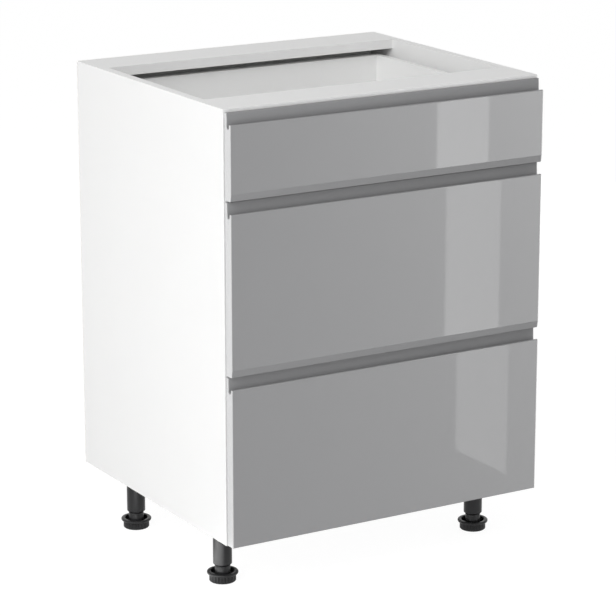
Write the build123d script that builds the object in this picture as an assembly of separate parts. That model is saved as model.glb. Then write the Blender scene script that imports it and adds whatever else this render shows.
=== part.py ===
from build123d import *
import os

# Fitted kitchen base cabinet: white board carcass on four adjustable legs, with one shallow
# and two deep drawers behind handleless fronts. Millimetres, +X right, -Y towards the user,
# +Z up. The origin is on the floor, in the middle of the cabinet's width and depth.

# ---- Driving dimensions ----

cabinet_width = 600.0
carcass_height = 720.0
carcass_depth = 510.0
leg_height = 100.0
board = 16.0
edge_band = 1.0
edge_round = 0.8

top_rail_width = 88.0
back_thickness = 3.0
back_setback = 12.0
back_groove_depth = 8.0
groove_play = 0.1
groove_end_play = 0.5

front_thickness = 18.0
front_side_reveal = 2.0
front_bottom_reveal = 1.0
front_gap = 3.0
bumper_height = 1.9
bumper_play = 0.1
bumper_radius = 4.0
bumper_end_offset = 20.0
top_front_height = 140.0
middle_front_height = 284.0
bottom_front_height = 284.0

recess_height = 17.5
lip_top_thickness = 5.0
lip_base_thickness = 6.0
hook_thickness = 4.0
hook_drop = 8.0
hook_round = 1.5
front_round = 1.0
finger_bevel_height = 12.0
finger_bevel_depth = 2.0

box_board = 12.0
box_rear_clearance = 47.0
box_lift = 28.0
deep_box_height = 200.0
rim_clearance = 12.0
box_bottom_thickness = 3.0
box_bottom_lift = 12.0
box_groove_depth = 6.0

runner_rear_clearance = 43.0
runner_space = 13.0
runner_setback = 2.0
runner_level = 37.0
member_sheet = 1.2
outer_half_height = 22.5
middle_half_height = 17.7
inner_half_height = 12.9
outer_flange_reach = 9.5
outer_lip = 2.0
middle_web_offset = 3.2
middle_flange_reach = 10.5
inner_flange_start = 6.0
middle_end_gap = 5.0
cage_end_gap = 7.5
cage_slack = 25.0
cage_sheet = 0.6
cage_margin = 1.2
ball_play = 0.1
balls_per_strip = 6
outer_ball_offset = 5.2
inner_ball_offset = 8.0

screw_shank_radius = 1.75
screw_head_radius = 3.5
screw_head_height = 1.6
screw_play = 0.05
runner_screw_depth = 11.0
inner_screw_depth = 9.0
first_runner_screw = 37.0
last_runner_screw = 31.0
runner_screw_count = 3
front_screw_grip = 13.0
front_screw_inset = 90.0
front_screw_edge = 20.0

cam_radius = 7.5
cam_depth = 12.5
cam_distance = 34.0
cam_inset = 40.0
cam_slot_width = 2.0
cam_slot_depth = 3.0
bolt_shank_radius = 3.0
bolt_bore_radius = 4.0
bolt_thread_radius = 2.5
bolt_thread_length = 11.0
dowel_radius = 4.0
dowel_length = 30.0
dowel_depth_in_side = 12.0
dowel_pitch = 25.0
dowel_play = 0.05
box_dowel_radius = 3.0
box_dowel_length = 25.0
box_dowel_depth = 8.0
box_dowel_edge = 24.0

leg_side_inset = 48.0
leg_end_inset = 99.0
socket_radius = 32.0
socket_plate = 4.0
spigot_length = 14.0
spigot_play = 0.1
socket_screw_circle = 24.0
socket_screw_count = 4
socket_screw_depth = 12.0
tube_radius = 16.0
tube_wall = 2.5
tube_drop = 68.0
tube_chamfer = 3.0
nut_length = 14.0
stem_radius = 10.0
stem_play = 0.1
stem_length = 44.0
thread_pitch = 3.0
thread_depth = 0.7
collar_radius = 13.0
collar_play = 0.2
foot_skirt_radius = 22.6
foot_ring_radius = 26.4
foot_ring_thickness = 4.5
foot_ring_round = 1.6
foot_cup_height = 17.5
foot_wall = 2.6
foot_floor = 3.5
foot_rib_count = 24
foot_rib_groove = 1.5
foot_chamfer = 1.5
cup_web_count = 8
cup_web_thickness = 1.4

# ---- Levels and faces worked out from the sizes above ----

bumper_gap = bumper_height + bumper_play
overall_depth = front_thickness + bumper_gap + carcass_depth
face_y = -overall_depth / 2
front_back_y = face_y + front_thickness
carcass_front_y = front_back_y + bumper_gap
carcass_back_y = carcass_front_y + carcass_depth
side_outer_x = cabinet_width / 2
side_inner_x = side_outer_x - board
carcass_bottom_z = leg_height
carcass_top_z = leg_height + carcass_height
rail_under_z = carcass_top_z - board
floor_panel_top_z = carcass_bottom_z + board
back_rear_y = carcass_back_y - back_setback
back_front_y = back_rear_y - back_thickness

front_half_width = side_outer_x - front_side_reveal
bottom_front_z = carcass_bottom_z + front_bottom_reveal
middle_front_z = bottom_front_z + bottom_front_height + front_gap
top_front_z = middle_front_z + middle_front_height + front_gap

box_outer_x = side_inner_x - runner_space
box_inner_x = box_outer_x - box_board
box_length = back_front_y - box_rear_clearance - front_back_y
box_back_y = front_back_y + box_length
top_box_height = rail_under_z - rim_clearance - (top_front_z + box_lift)

# Each drawer: name, lower edge of its front, front height, height of its box.
drawers = [
    ("top", top_front_z, top_front_height, top_box_height),
    ("middle", middle_front_z, middle_front_height, deep_box_height),
    ("bottom", bottom_front_z, bottom_front_height, deep_box_height),
]

leg_x = side_outer_x - leg_side_inset
leg_front_y = carcass_front_y + leg_end_inset
leg_back_y = carcass_back_y - leg_end_inset
legs = [
    ("front_left", -leg_x, leg_front_y),
    ("front_right", leg_x, leg_front_y),
    ("back_left", -leg_x, leg_back_y),
    ("back_right", leg_x, leg_back_y),
]

runner_front_y = carcass_front_y + runner_setback
runner_length = back_front_y - runner_rear_clearance - runner_front_y
cage_length = runner_length / 2 - cage_slack
cage_start = runner_length / 4 + cage_end_gap
runner_screw_span = runner_length + runner_setback - first_runner_screw - last_runner_screw
runner_screw_pitch = runner_screw_span / (runner_screw_count - 1)


# ---- Small builders ----

def block(x0, x1, y0, y1, z0, z1):
    """A square-edged board between two corners."""
    low = (min(x0, x1), min(y0, y1), min(z0, z1))
    size = (abs(x1 - x0), abs(y1 - y0), abs(z1 - z0))
    return Pos(*low) * Box(*size, align=(Align.MIN, Align.MIN, Align.MIN))


def rod_x(x0, x1, y, z, radius):
    """A round bar along X."""
    bar = Cylinder(radius, abs(x1 - x0), align=(Align.CENTER, Align.CENTER, Align.MIN))
    return Pos(min(x0, x1), y, z) * Rot(0, 90, 0) * bar


def rod_y(x, y0, y1, z, radius):
    """A round bar along Y."""
    bar = Cylinder(radius, abs(y1 - y0), align=(Align.CENTER, Align.CENTER, Align.MIN))
    return Pos(x, min(y0, y1), z) * Rot(-90, 0, 0) * bar


def rod_z(x, y, z0, z1, radius):
    """A round bar along Z."""
    bar = Cylinder(radius, abs(z1 - z0), align=(Align.CENTER, Align.CENTER, Align.MIN))
    return Pos(x, y, min(z0, z1)) * bar


def cut(body, tools):
    """Take a list of tools out of one solid."""
    return body - tools if tools else body


def save(name, solids):
    """Write one sub-part, as one solid or a group of separate ones."""
    shapes = [solid for shape in solids for solid in shape.solids()]
    part = shapes[0] if len(shapes) == 1 else Compound(children=shapes)
    part.label = name
    export_step(part, os.path.join("parts", name + ".step"))


# ---- Knock-down fittings of the carcass ----

def panel_fittings():
    """Where cam fittings and dowels join each cross panel to the side panels.

    Each entry is the panel's underside level with lists of the Y places of cams and dowels.
    """
    rail_middle = top_rail_width / 2
    front_cam = carcass_front_y + cam_inset
    back_cam = carcass_back_y - cam_inset
    floor_middle = (carcass_front_y + carcass_back_y) / 2
    floor_dowels = [front_cam + dowel_pitch, floor_middle, back_cam - dowel_pitch]
    front_rail_middle = carcass_front_y + rail_middle
    back_rail_middle = (carcass_back_y - top_rail_width + back_front_y) / 2
    return {
        "bottom_panel": (carcass_bottom_z, [front_cam, back_cam], floor_dowels),
        "top_front_rail": (
            rail_under_z,
            [front_rail_middle],
            [front_rail_middle - dowel_pitch, front_rail_middle + dowel_pitch],
        ),
        "top_back_rail": (
            rail_under_z,
            [back_rail_middle],
            [back_rail_middle - dowel_pitch, back_rail_middle + dowel_pitch],
        ),
    }


def cross_panel_bores(panel):
    """Bores in both ends and the underside of a cross panel."""
    under_z, cams, dowels = panel_fittings()[panel]
    middle_z = under_z + board / 2
    bores = []
    for side in (-1, 1):
        end_x = side * side_inner_x
        cam_x = side * (side_inner_x - cam_distance)
        for y in cams:
            bores.append(rod_z(cam_x, y, under_z, under_z + cam_depth, cam_radius))
            bores.append(rod_x(cam_x, end_x, y, middle_z, bolt_bore_radius))
        for y in dowels:
            deep_x = side * (side_inner_x - dowel_length + dowel_depth_in_side)
            bores.append(rod_x(deep_x, end_x, y, middle_z, dowel_radius + dowel_play))
    return bores


def side_panel_bores(side):
    """Bores for cam bolts, dowels and runner screws in one side panel's inner face."""
    face_x = side * side_inner_x
    bores = []
    for under_z, cams, dowels in panel_fittings().values():
        middle_z = under_z + board / 2
        for y in cams:
            deep_x = face_x + side * bolt_thread_length
            bores.append(rod_x(face_x, deep_x, y, middle_z, bolt_thread_radius + screw_play))
        for y in dowels:
            deep_x = face_x + side * dowel_depth_in_side
            bores.append(rod_x(face_x, deep_x, y, middle_z, dowel_radius + dowel_play))
    for _, front_z, _, _ in drawers:
        level = front_z + box_lift + runner_level
        for y in runner_screw_places():
            deep_x = face_x + side * runner_screw_depth
            bores.append(rod_x(face_x, deep_x, y, level, screw_shank_radius + screw_play))
    return bores


def cam_fittings():
    """Cam discs and their bolts."""
    discs = []
    bolts = []
    for under_z, cams, _ in panel_fittings().values():
        middle_z = under_z + board / 2
        for side in (-1, 1):
            face_x = side * side_inner_x
            cam_x = side * (side_inner_x - cam_distance)
            head_x = cam_x + side * bolt_bore_radius
            for y in cams:
                disc = rod_z(cam_x, y, under_z, under_z + cam_depth, cam_radius - screw_play)
                pocket = rod_x(
                    cam_x - side * bolt_bore_radius, face_x, y, middle_z, bolt_bore_radius
                )
                slot = block(
                    cam_x - cam_radius / 2, cam_x + cam_radius / 2,
                    y - cam_slot_width / 2, y + cam_slot_width / 2,
                    under_z, under_z + cam_slot_depth,
                )
                discs.append(cut(disc, [pocket, slot]))
                shank = rod_x(head_x, face_x, y, middle_z, bolt_shank_radius)
                head = rod_x(cam_x, head_x, y, middle_z, bolt_bore_radius - screw_play)
                thread = rod_x(
                    face_x, face_x + side * bolt_thread_length, y, middle_z, bolt_thread_radius
                )
                bolts.append(shank + head + thread)
    return discs, bolts


def carcass_dowels():
    """Wooden dowels between the cross panels and the side panels."""
    pins = []
    for under_z, _, dowels in panel_fittings().values():
        middle_z = under_z + board / 2
        for side in (-1, 1):
            outer_x = side * (side_inner_x + dowel_depth_in_side)
            inner_x = outer_x - side * dowel_length
            for y in dowels:
                pins.append(rod_x(inner_x, outer_x, y, middle_z, dowel_radius))
    return pins


# ---- Carcass boards ----

def back_groove(side_reach, z0, z1):
    """The slot that the back panel slides in, over a given width and height."""
    return block(
        -side_reach, side_reach,
        back_front_y - groove_play, back_rear_y + groove_play,
        z0, z1,
    )


def side_panel(side):
    """One side board, bored and grooved on its inner face."""
    panel = block(
        side * side_inner_x, side * side_outer_x,
        carcass_front_y + edge_band, carcass_back_y,
        carcass_bottom_z, carcass_top_z,
    )
    outer_edges = panel.edges().filter_by(Axis.Y).sort_by(Axis.X)
    outer_edges = outer_edges[:2] if side < 0 else outer_edges[-2:]
    panel = fillet(outer_edges, edge_round)
    groove = back_groove(
        side_inner_x + back_groove_depth,
        floor_panel_top_z - back_groove_depth,
        rail_under_z + back_groove_depth,
    )
    return cut(panel, [groove] + side_panel_bores(side))


def bottom_panel():
    """The board that the side panels and the legs are fixed to."""
    panel = block(
        -side_inner_x, side_inner_x,
        carcass_front_y + edge_band, carcass_back_y,
        carcass_bottom_z, floor_panel_top_z,
    )
    groove = back_groove(side_inner_x, floor_panel_top_z - back_groove_depth, floor_panel_top_z)
    return cut(panel, [groove] + cross_panel_bores("bottom_panel") + socket_screw_bores())


def top_front_rail():
    """Flat rail across the front of the open top."""
    rail = block(
        -side_inner_x, side_inner_x,
        carcass_front_y + edge_band, carcass_front_y + top_rail_width,
        rail_under_z, carcass_top_z,
    )
    return cut(rail, cross_panel_bores("top_front_rail"))


def top_back_rail():
    """Flat rail across the back of the open top, grooved for the back panel."""
    rail = block(
        -side_inner_x, side_inner_x,
        carcass_back_y - top_rail_width, carcass_back_y,
        rail_under_z, carcass_top_z,
    )
    groove = back_groove(side_inner_x, rail_under_z, rail_under_z + back_groove_depth)
    return cut(rail, [groove] + cross_panel_bores("top_back_rail"))


def back_panel():
    """Thin board held in the grooves on all four sides."""
    tongue = back_groove_depth - groove_end_play
    return block(
        -(side_inner_x + tongue), side_inner_x + tongue,
        back_front_y, back_rear_y,
        floor_panel_top_z - tongue, rail_under_z + tongue,
    )


def carcass_edge_bands():
    """Edging glued to the front edges of the boards."""
    y0 = carcass_front_y
    y1 = carcass_front_y + edge_band
    bands = []
    for side in (-1, 1):
        band = block(
            side * side_inner_x, side * side_outer_x, y0, y1, carcass_bottom_z, carcass_top_z
        )
        edges = band.edges().filter_by(Axis.Z).group_by(Axis.Y)[0]
        bands.append(fillet(edges, edge_round))
    for z0, z1 in ((carcass_bottom_z, floor_panel_top_z), (rail_under_z, carcass_top_z)):
        bands.append(block(-side_inner_x, side_inner_x, y0, y1, z0, z1))
    return bands


# ---- Legs ----

def socket_screw_spots():
    """Centres of the screws that hold the leg sockets."""
    spots = []
    for _, x, y in legs:
        for spot in PolarLocations(socket_screw_circle, socket_screw_count, start_angle=45):
            spots.append((x + spot.position.X, y + spot.position.Y))
    return spots


def socket_screw_bores():
    """Pilot bores in the underside of the bottom panel."""
    radius = screw_shank_radius + screw_play
    top = carcass_bottom_z + socket_screw_depth
    return [rod_z(x, y, carcass_bottom_z, top, radius) for x, y in socket_screw_spots()]


def leg_sockets():
    """Round plates under the cabinet, with a spigot for the leg tube."""
    plate_z = carcass_bottom_z - socket_plate
    sockets = []
    for _, x, y in legs:
        plate = rod_z(x, y, plate_z, carcass_bottom_z, socket_radius)
        plate = fillet(plate.edges().filter_by(GeomType.CIRCLE).group_by(Axis.Z)[0], edge_round)
        spigot = rod_z(
            x, y, plate_z - spigot_length, plate_z, tube_radius - tube_wall - spigot_play
        )
        hollow = rod_z(
            x, y, plate_z - spigot_length, plate_z,
            tube_radius - 2 * tube_wall - spigot_play,
        )
        sockets.append(plate + (spigot - hollow))
    tools = []
    for x, y in socket_screw_spots():
        tools.append(rod_z(x, y, plate_z, carcass_bottom_z, screw_shank_radius + screw_play))
        tools.append(rod_z(x, y, plate_z, plate_z + screw_head_height, screw_head_radius + screw_play))
    return [cut(socket, tools) for socket in sockets]


def socket_screws():
    """Chipboard screws through the socket plates, heads sunk in the plate."""
    plate_z = carcass_bottom_z - socket_plate
    screws = []
    for x, y in socket_screw_spots():
        head = rod_z(x, y, plate_z, plate_z + screw_head_height, screw_head_radius)
        shank = rod_z(
            x, y, plate_z + screw_head_height, carcass_bottom_z + socket_screw_depth,
            screw_shank_radius,
        )
        screws.append(head + shank)
    return screws


def leg_tubes():
    """Plastic tubes with a moulded nut at the lower end."""
    top = carcass_bottom_z - socket_plate
    low = top - tube_drop
    tubes = []
    for _, x, y in legs:
        tube = rod_z(x, y, low, top, tube_radius)
        tube = chamfer(tube.edges().filter_by(GeomType.CIRCLE).group_by(Axis.Z)[0], tube_chamfer)
        hollow = rod_z(x, y, low + nut_length, top, tube_radius - tube_wall)
        nut = rod_z(x, y, low, low + nut_length, stem_radius + stem_play)
        tubes.append(cut(tube, [hollow, nut]))
    return tubes


def foot(x, y):
    """Screw foot: a ribbed cup on a threaded stem that runs in the leg tube."""
    tube_low = carcass_bottom_z - socket_plate - tube_drop
    collar_top = tube_low - collar_play
    stem_top = tube_low + stem_length
    cup = rod_z(x, y, 0, foot_cup_height, foot_skirt_radius)
    cup = chamfer(cup.edges().filter_by(GeomType.CIRCLE).group_by(Axis.Z)[0], foot_chamfer)
    ring_low = foot_cup_height - foot_ring_thickness
    ring = rod_z(x, y, ring_low, foot_cup_height, foot_ring_radius)
    ring = fillet(ring.edges().filter_by(GeomType.CIRCLE), foot_ring_round)
    hollow = rod_z(x, y, foot_floor, foot_cup_height, foot_skirt_radius - foot_wall)
    grooves = []
    for spot in PolarLocations(foot_skirt_radius, foot_rib_count):
        grooves.append(
            rod_z(
                x + spot.position.X, y + spot.position.Y,
                foot_chamfer, ring_low, foot_rib_groove,
            )
        )
    body = cut(cup, grooves) + ring - hollow
    web_reach = foot_skirt_radius - foot_wall / 2
    web = Box(
        2 * web_reach, cup_web_thickness, ring_low - foot_floor,
        align=(Align.CENTER, Align.CENTER, Align.MIN),
    )
    for turn in range(cup_web_count // 2):
        angle = 360.0 * turn / cup_web_count
        body = body + Pos(x, y, foot_floor) * Rot(0, 0, angle) * web
    body = body + rod_z(x, y, foot_floor, collar_top, collar_radius)
    stem = rod_z(x, y, collar_top, stem_top, stem_radius)
    ring_count = int((stem_length - thread_pitch) / thread_pitch)
    rings = []
    for index in range(ring_count):
        low = tube_low + thread_pitch * (index + 1)
        outer = rod_z(x, y, low, low + thread_pitch / 2, stem_radius + thread_depth)
        inner = rod_z(x, y, low, low + thread_pitch / 2, stem_radius - thread_depth)
        rings.append(outer - inner)
    return body + cut(stem, rings)


# ---- Drawer runners ----

def runner_screw_places():
    """Y of the screws along each runner, evenly spread."""
    first = carcass_front_y + first_runner_screw
    return [first + runner_screw_pitch * index for index in range(runner_screw_count)]


def runner_x(side, offset):
    """X of a point in a runner, by its distance from the side panel."""
    return side * (side_inner_x - offset)


def channel(side, level, y0, y1, web, flange_end, half_height):
    """A C-shaped sheet steel member with its web at one offset from the side panel."""
    web_far = web + member_sheet if flange_end > web else web - member_sheet
    member = block(
        runner_x(side, web), runner_x(side, web_far), y0, y1,
        level - half_height, level + half_height,
    )
    for direction in (-1, 1):
        outer_z = level + direction * half_height
        inner_z = outer_z - direction * member_sheet
        member = member + block(
            runner_x(side, web), runner_x(side, flange_end), y0, y1, inner_z, outer_z
        )
    return member


def outer_members(level):
    """Runner members that are screwed to the side panels, with turned-in lips."""
    members = []
    y0 = runner_front_y
    y1 = runner_front_y + runner_length
    for side in (-1, 1):
        member = channel(side, level, y0, y1, 0.0, outer_flange_reach, outer_half_height)
        for direction in (-1, 1):
            outer_z = level + direction * outer_half_height
            lip_z = outer_z - direction * (member_sheet + outer_lip)
            lip = block(
                runner_x(side, outer_flange_reach - member_sheet),
                runner_x(side, outer_flange_reach), y0, y1, lip_z, outer_z,
            )
            member = member + lip
        holes = []
        for y in runner_screw_places():
            holes.append(
                rod_x(
                    runner_x(side, 0.0), runner_x(side, member_sheet), y, level,
                    screw_shank_radius + screw_play,
                )
            )
        members.append(cut(member, holes))
    return members


def middle_members(level):
    """Runner members that travel half as far as the drawer."""
    y0 = runner_front_y + middle_end_gap
    y1 = runner_front_y + runner_length - middle_end_gap
    members = []
    for side in (-1, 1):
        members.append(
            channel(side, level, y0, y1, middle_web_offset, middle_flange_reach, middle_half_height)
        )
    return members


def inner_members(level):
    """Runner members that are screwed to the drawer box."""
    y0 = runner_front_y
    y1 = runner_front_y + runner_length
    members = []
    for side in (-1, 1):
        member = channel(side, level, y0, y1, runner_space, inner_flange_start, inner_half_height)
        holes = []
        for y in runner_screw_places():
            holes.append(
                rod_x(
                    runner_x(side, runner_space), runner_x(side, runner_space - member_sheet),
                    y, level, screw_shank_radius + screw_play,
                )
            )
        members.append(cut(member, holes))
    return members


def ball_cages(level, outside, inside, offset):
    """Flat ball strips and balls between two nested members, above and below the middle."""
    race_outer = outside - member_sheet
    ball_radius = (race_outer - inside) / 2 - ball_play
    race_middle = (race_outer + inside) / 2
    half_strip = ball_radius + ball_play + cage_margin
    y0 = carcass_front_y + cage_start
    ball_pitch = cage_length / balls_per_strip
    solids = []
    for side in (-1, 1):
        for direction in (-1, 1):
            z = level + direction * race_middle
            strip = block(
                runner_x(side, offset - half_strip), runner_x(side, offset + half_strip),
                y0, y0 + cage_length, z - cage_sheet / 2, z + cage_sheet / 2,
            )
            holes = []
            for index in range(balls_per_strip):
                y = y0 + ball_pitch * (index + 0.5)
                x = runner_x(side, offset)
                holes.append(
                    rod_z(x, y, z - cage_sheet, z + cage_sheet, ball_radius + ball_play)
                )
                solids.append(Pos(x, y, z) * Sphere(ball_radius))
            solids.append(cut(strip, holes))
    return solids


def runner_screws():
    """Screws that hold the outer members to the side panels."""
    screws = []
    for _, front_z, _, _ in drawers:
        level = front_z + box_lift + runner_level
        for side in (-1, 1):
            for y in runner_screw_places():
                tip = runner_x(side, -runner_screw_depth)
                under_head = runner_x(side, member_sheet)
                head_top = runner_x(side, member_sheet + screw_head_height)
                shank = rod_x(tip, under_head, y, level, screw_shank_radius)
                screws.append(shank + rod_x(under_head, head_top, y, level, screw_head_radius))
    return screws


# ---- Drawers ----

def front_profile(front_z, height):
    """Section of a drawer front, with the milled finger recess along its top edge.

    A front with another one below it slopes back along its lower edge, to let fingers in.
    """
    top = front_z + height
    face_top = top - recess_height
    groove_z = face_top - hook_drop + groove_radius()
    lip_top_y = front_back_y - lip_top_thickness
    lip_base_y = front_back_y - lip_base_thickness
    hook_y = face_y + hook_thickness
    lower_edge = [(face_y, front_z)]
    if front_z > bottom_front_z:
        lower_edge = [
            (face_y, front_z + finger_bevel_height), (face_y + finger_bevel_depth, front_z)
        ]
    outline = Polyline(
        (front_back_y, front_z),
        (front_back_y, top),
        (lip_top_y, top),
        (lip_base_y, groove_z),
        (hook_y, groove_z),
        (hook_y, face_top),
        (face_y, face_top),
        *lower_edge,
        close=True,
    )
    section = make_face(outline)
    trough = Pos((lip_base_y + hook_y) / 2, groove_z) * Circle(groove_radius())
    section = section - trough
    hook_corners = [
        vertex for vertex in section.vertices()
        if abs(vertex.Y - face_top) < 0.01
    ]
    section = fillet(hook_corners, hook_round)
    face_corners = [
        vertex for vertex in section.vertices()
        if abs(vertex.Y - front_z) < 0.01
        or (abs(vertex.Y - top) < 0.01 and abs(vertex.X - lip_top_y) < 0.01)
    ]
    return fillet(face_corners, front_round)


def groove_radius():
    """Radius of the trough behind the face's upper edge."""
    return (front_thickness - lip_base_thickness - hook_thickness) / 2


def extrude_along_x(section, x0, x1):
    """Carry a section drawn in Y and Z across the cabinet."""
    placed = Plane.YZ.offset(x0) * section
    return extrude(placed, amount=x1 - x0, dir=(1, 0, 0))


def drawer_front(front_z, height):
    """Lacquered front, bored at the back for its screws."""
    section = front_profile(front_z, height)
    half = front_half_width - edge_band
    body = extrude_along_x(section, -half, half)
    bores = []
    for x, z in front_screw_spots(front_z):
        bores.append(
            rod_y(
                x, front_back_y, front_back_y - front_screw_grip, z,
                screw_shank_radius + screw_play,
            )
        )
    return cut(body, bores)


def front_edge_bands(front_z, height):
    """Light edging on both ends of a front, with the front's own outline."""
    section = front_profile(front_z, height)
    inner = front_half_width - edge_band
    return [
        extrude_along_x(section, -front_half_width, -inner),
        extrude_along_x(section, inner, front_half_width),
    ]


def front_screw_spots(front_z):
    """X and Z of the screws from the box into the front."""
    box_z = front_z + box_lift
    low = box_z + box_bottom_lift + box_bottom_thickness + front_screw_edge
    high = low + 2 * front_screw_edge
    return [
        (side * (box_inner_x - front_screw_inset), z) for side in (-1, 1) for z in (low, high)
    ]


def box_dowel_levels(box_z, box_height):
    """Heights of the dowels in a box corner, evenly spread."""
    low = box_z + box_bottom_lift + box_dowel_edge
    high = box_z + box_height - box_dowel_edge
    count = 2 if high - low < 3 * box_dowel_edge else 3
    return [low + (high - low) * index / (count - 1) for index in range(count)]


def box_corner_places():
    """Side and Y of the middle of each end board of a box."""
    front_middle = front_back_y + box_board / 2
    back_middle = box_back_y - box_board / 2
    return [(side, y) for side in (-1, 1) for y in (front_middle, back_middle)]


def bottom_groove(box_z):
    """The slot in the box boards that holds the drawer bottom."""
    reach = box_inner_x + box_groove_depth
    return block(
        -reach, reach,
        front_back_y + box_board - box_groove_depth, box_back_y - box_board + box_groove_depth,
        box_z + box_bottom_lift - groove_play,
        box_z + box_bottom_lift + box_bottom_thickness + groove_play,
    )


def box_sides(box_z, box_height):
    """Both side boards of a drawer box, with rounded rims."""
    level = box_z + runner_level
    sides = []
    for side in (-1, 1):
        panel = block(
            side * box_inner_x, side * box_outer_x, front_back_y, box_back_y,
            box_z, box_z + box_height,
        )
        panel = fillet(panel.edges().filter_by(Axis.Y).group_by(Axis.Z)[-1], edge_round)
        tools = [bottom_groove(box_z)]
        for y in runner_screw_places():
            deep_x = side * (box_outer_x - inner_screw_depth)
            tools.append(
                rod_x(deep_x, side * box_outer_x, y, level, screw_shank_radius + screw_play)
            )
        for corner_side, y in box_corner_places():
            if corner_side == side:
                deep_x = side * (box_inner_x + box_dowel_depth)
                for z in box_dowel_levels(box_z, box_height):
                    tools.append(
                        rod_x(side * box_inner_x, deep_x, y, z, box_dowel_radius + dowel_play)
                    )
        sides.append(cut(panel, tools))
    return sides


def box_end(box_z, box_height, y_outer, y_inner):
    """A box board across the drawer, doweled to both sides."""
    panel = block(
        -box_inner_x, box_inner_x, y_outer, y_inner, box_z, box_z + box_height
    )
    panel = fillet(panel.edges().filter_by(Axis.X).group_by(Axis.Z)[-1], edge_round)
    tools = [bottom_groove(box_z)]
    middle_y = (y_outer + y_inner) / 2
    for side in (-1, 1):
        deep_x = side * (box_inner_x - box_dowel_length + box_dowel_depth)
        for z in box_dowel_levels(box_z, box_height):
            tools.append(
                rod_x(deep_x, side * box_inner_x, middle_y, z, box_dowel_radius + dowel_play)
            )
    return cut(panel, tools)


def box_front(front_z, box_z, box_height):
    """The box board behind the front, bored for the front's screws."""
    inner_y = front_back_y + box_board
    panel = box_end(box_z, box_height, front_back_y, inner_y)
    bores = [
        rod_y(x, front_back_y, inner_y, z, screw_shank_radius + screw_play)
        for x, z in front_screw_spots(front_z)
    ]
    return cut(panel, bores)


def box_bottom(box_z):
    """Thin drawer bottom, let into all four boards."""
    tongue = box_groove_depth - groove_end_play
    return block(
        -(box_inner_x + tongue), box_inner_x + tongue,
        front_back_y + box_board - tongue, box_back_y - box_board + tongue,
        box_z + box_bottom_lift, box_z + box_bottom_lift + box_bottom_thickness,
    )


def box_dowels(box_z, box_height):
    """Wooden dowels in the corners of a box."""
    pins = []
    for side, y in box_corner_places():
        outer_x = side * (box_inner_x + box_dowel_depth)
        inner_x = outer_x - side * box_dowel_length
        for z in box_dowel_levels(box_z, box_height):
            pins.append(rod_x(inner_x, outer_x, y, z, box_dowel_radius))
    return pins


def drawer_screws(front_z, box_z):
    """Screws into the front from inside the box, and into the box through the runners."""
    screws = []
    inner_y = front_back_y + box_board
    for x, z in front_screw_spots(front_z):
        shank = rod_y(x, front_back_y - front_screw_grip, inner_y, z, screw_shank_radius)
        head = rod_y(x, inner_y, inner_y + screw_head_height, z, screw_head_radius)
        screws.append(shank + head)
    level = box_z + runner_level
    web_x = runner_space - member_sheet
    for side in (-1, 1):
        for y in runner_screw_places():
            tip = runner_x(side, runner_space + inner_screw_depth)
            under_head = runner_x(side, web_x)
            head_top = runner_x(side, web_x - screw_head_height)
            shank = rod_x(tip, under_head, y, level, screw_shank_radius)
            screws.append(shank + rod_x(under_head, head_top, y, level, screw_head_radius))
    return screws


def bumpers(front_z, height):
    """Soft stops between a front and the side panels' front edges."""
    x = (side_outer_x + side_inner_x) / 2
    stops = []
    for side in (-1, 1):
        for z in (front_z + bumper_end_offset, front_z + height - bumper_end_offset):
            stop = rod_y(side * x, front_back_y, front_back_y + bumper_height, z, bumper_radius)
            rim = stop.edges().filter_by(GeomType.CIRCLE).group_by(Axis.Y)[-1]
            stops.append(fillet(rim, edge_round))
    return stops


# ---- Write every sub-part ----

os.makedirs("parts", exist_ok=True)

save("side_panel_left", [side_panel(-1)])
save("side_panel_right", [side_panel(1)])
save("bottom_panel", [bottom_panel()])
save("top_front_rail", [top_front_rail()])
save("top_back_rail", [top_back_rail()])
save("back_panel", [back_panel()])
save("carcass_edge_bands", carcass_edge_bands())
cam_discs, cam_bolts = cam_fittings()
save("cam_discs", cam_discs)
save("cam_bolts", cam_bolts)
save("carcass_dowels", carcass_dowels())
save("runner_screws", runner_screws())
save("leg_sockets", leg_sockets())
save("leg_socket_screws", socket_screws())
save("leg_tubes", leg_tubes())
for leg_name, leg_centre_x, leg_centre_y in legs:
    save(leg_name + "_foot", [foot(leg_centre_x, leg_centre_y)])

for name, front_z, front_height, box_height in drawers:
    box_z = front_z + box_lift
    runner_z = box_z + runner_level
    back_y = box_back_y
    save(name + "_front", [drawer_front(front_z, front_height)])
    save(name + "_front_edge_bands", front_edge_bands(front_z, front_height))
    save(name + "_box_sides", box_sides(box_z, box_height))
    save(name + "_box_front", [box_front(front_z, box_z, box_height)])
    save(name + "_box_back", [box_end(box_z, box_height, back_y, back_y - box_board)])
    save(name + "_box_bottom", [box_bottom(box_z)])
    save(name + "_box_dowels", box_dowels(box_z, box_height))
    save(name + "_drawer_screws", drawer_screws(front_z, box_z))
    save(name + "_bumpers", bumpers(front_z, front_height))
    save(name + "_runner_outer_members", outer_members(runner_z))
    save(name + "_runner_middle_members", middle_members(runner_z))
    save(name + "_runner_inner_members", inner_members(runner_z))
    outer_cages = ball_cages(runner_z, outer_half_height, middle_half_height, outer_ball_offset)
    inner_cages = ball_cages(runner_z, middle_half_height, inner_half_height, inner_ball_offset)
    save(name + "_runner_outer_balls", outer_cages)
    save(name + "_runner_inner_balls", inner_cages)
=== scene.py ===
import math

import bmesh
import bpy
from mathutils import Matrix, Vector


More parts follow.
